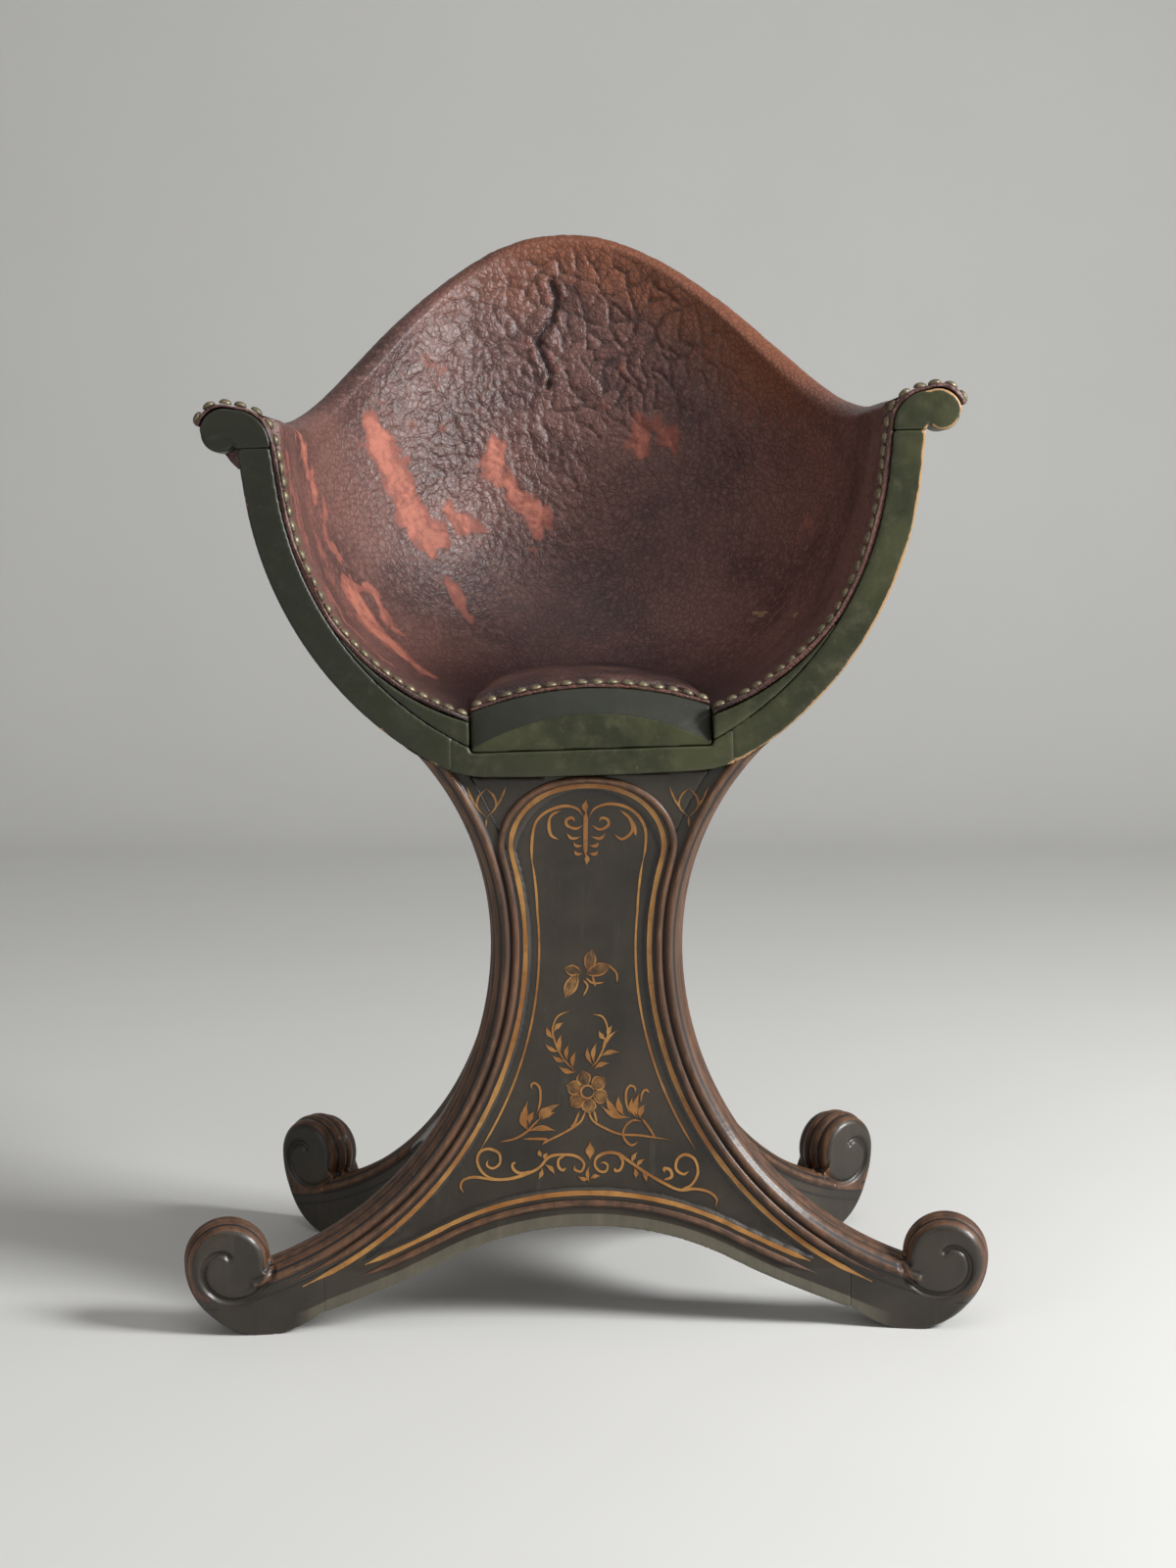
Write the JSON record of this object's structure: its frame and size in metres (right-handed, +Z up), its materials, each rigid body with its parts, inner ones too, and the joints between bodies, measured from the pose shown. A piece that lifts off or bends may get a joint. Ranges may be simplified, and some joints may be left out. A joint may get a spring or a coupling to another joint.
{
  "type": "gondola chair",
  "caption": "Antique gondola chair: leather-lined bucket shell with curled arms on an hourglass pedestal with reeded scroll-footed legs and a lift-out seat.",
  "frame": {"origin": "on the floor, under the middle of the chair's box", "axes": "+X the sitter's left, +Y to the back, +Z up; the chair faces -Y"},
  "size_m": [0.5806, 0.4339, 0.8258],
  "materials": {
    "pedestal_lacquer": "worn dark lacquer with gold lines and painted flowers",
    "green_paint": "chipped bottle-green paint, worn to gold at the edges",
    "shell_paint": "dull dark paint on the outside of the shell",
    "bare_wood": "unfinished wood, hidden",
    "leather": "old crackled oxblood leather, scuffed",
    "nail_brass": "tarnished"
  },
  "bodies": {
    "chair": {"back_bearer": "bare_wood", "back_stave_1": "shell_paint", "back_stave_2": "shell_paint", "back_stave_3": "shell_paint", "back_stave_4": "shell_paint", "back_stave_5": "shell_paint", "back_stave_6": "shell_paint", "back_stave_7": "shell_paint", "back_stave_8": "shell_paint", "front_left_leg": "pedestal_lacquer", "front_panel": "pedestal_lacquer", "front_rail": "green_paint", "front_right_leg": "pedestal_lacquer", "leather_lining": "leather", "left_arm": "green_paint", "left_arm_nails": "nail_brass", "left_bearer": "bare_wood", "left_corner_block": "green_paint", "left_ear_leather": "leather", "left_ear_tip": "green_paint", "left_side_panel": "pedestal_lacquer", "left_side_stave": "shell_paint", "rail_dowels": "bare_wood", "rear_left_leg": "pedestal_lacquer", "rear_panel": "pedestal_lacquer", "rear_right_leg": "pedestal_lacquer", "right_arm": "green_paint", "right_arm_nails": "nail_brass", "right_bearer": "bare_wood", "right_corner_block": "green_paint", "right_ear_leather": "leather", "right_ear_tip": "green_paint", "right_side_panel": "pedestal_lacquer", "right_side_stave": "shell_paint", "rim_roll": "leather", "shell_floor": "bare_wood", "upper_block": "bare_wood", "waist_block": "bare_wood"},
    "seat": {"seat_front_rail": "green_paint", "seat_board": "bare_wood", "seat_battens": "bare_wood", "seat_leather_strip": "leather", "seat_pad": "leather", "seat_nails": "nail_brass"}
  },
  "joints": [
    {"name": "seat_lift", "type": "slide", "parent": "chair", "child": "seat", "axis": [-0.0297, 0, 0.9996], "range_m": [0, 0.25]}
  ]
}
